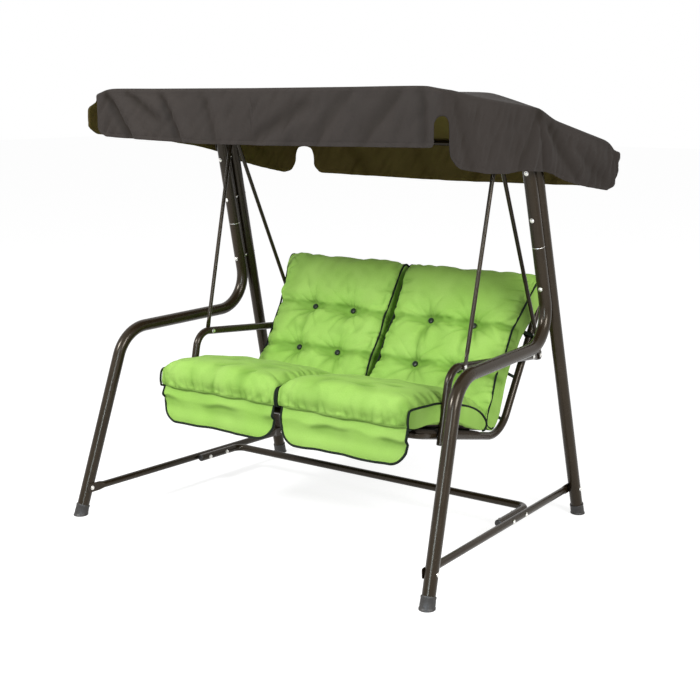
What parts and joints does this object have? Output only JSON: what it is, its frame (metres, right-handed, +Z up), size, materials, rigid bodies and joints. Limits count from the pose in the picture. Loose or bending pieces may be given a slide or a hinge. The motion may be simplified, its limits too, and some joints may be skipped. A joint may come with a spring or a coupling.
{
  "type": "canopy swing bench",
  "caption": "Garden swing bench: tufted cushions on a tube seat hung by rods from a bent tube stand, under a tilting cloth canopy with valances",
  "frame": {"origin": "on the floor, in the middle of the object's box", "axes": "+X across the bench to the right as seen from the front, +Y from the front to the back, +Z up"},
  "size_m": [1.716, 1.4528, 1.686],
  "materials": {
    "powder_coat": "satin dark brown powder coat",
    "zinc": "bright zinc plate",
    "cap_plastic": "matt dark grey moulded plastic",
    "sling_fabric": "dark brown woven sling cloth",
    "green_fabric": "matt apple green woven cloth",
    "canopy_fabric": "matt charcoal woven cloth"
  },
  "bodies": {
    "stand": {"front_leg_left": "powder_coat", "front_leg_right": "powder_coat", "rear_leg_left": "powder_coat", "rear_leg_right": "powder_coat", "bottom_rail_left": "powder_coat", "bottom_rail_right": "powder_coat", "foot_cap_front_left": "cap_plastic", "foot_cap_front_right": "cap_plastic", "foot_cap_rear_left": "cap_plastic", "foot_cap_rear_right": "cap_plastic", "post_bolt_lower_left": "zinc", "post_bolt_lower_right": "zinc", "post_bolt_middle_left": "zinc", "post_bolt_middle_right": "zinc", "post_bolt_upper_left": "zinc", "post_bolt_upper_right": "zinc", "rail_bolt_front_left": "zinc", "rail_bolt_front_right": "zinc", "rail_bolt_rear_left": "zinc", "rail_bolt_rear_right": "zinc", "crossbar_bolt_front_left": "zinc", "crossbar_bolt_front_right": "zinc", "crossbar_bolt_rear_left": "zinc", "crossbar_bolt_rear_right": "zinc", "hanger_plate_left": "powder_coat", "hanger_plate_right": "powder_coat", "hanger_bolt_left": "zinc", "hanger_bolt_right": "zinc", "canopy_bracket_left": "powder_coat", "canopy_bracket_right": "powder_coat", "crossbar": "powder_coat", "top_hoop": "powder_coat"},
    "seat": {"armrest_left": "powder_coat", "armrest_right": "powder_coat", "hanger_rod_front_left": "powder_coat", "hanger_rod_front_right": "powder_coat", "hanger_rod_rear_left": "powder_coat", "hanger_rod_rear_right": "powder_coat", "rod_bolt_front_left": "zinc", "rod_bolt_front_right": "zinc", "rod_bolt_rear_left": "zinc", "rod_bolt_rear_right": "zinc", "arm_bolt_left": "zinc", "arm_bolt_right": "zinc", "back_bolt_left": "zinc", "back_bolt_right": "zinc", "seat_cushion_left": "green_fabric", "seat_cushion_right": "green_fabric", "back_cushion_left": "green_fabric", "back_cushion_right": "green_fabric", "front_flap_left": "green_fabric", "front_flap_right": "green_fabric", "seat_frame": "powder_coat", "back_frame": "powder_coat", "seat_sling": "sling_fabric", "back_sling": "sling_fabric"},
    "canopy": {"canopy_front_tube": "powder_coat", "canopy_rear_tube": "powder_coat", "canopy_cover": "canopy_fabric"}
  },
  "joints": [
    {"name": "seat_swing", "type": "hinge", "parent": "stand", "child": "seat", "pos_m": [0, 0.042, 1.509], "axis": [1, 0, 0], "range_deg": [-25, 25]},
    {"name": "canopy_tilt", "type": "hinge", "parent": "stand", "child": "canopy", "pos_m": [0, 0.065, 1.597], "axis": [1, 0, 0], "range_deg": [-8, 8]}
  ]
}
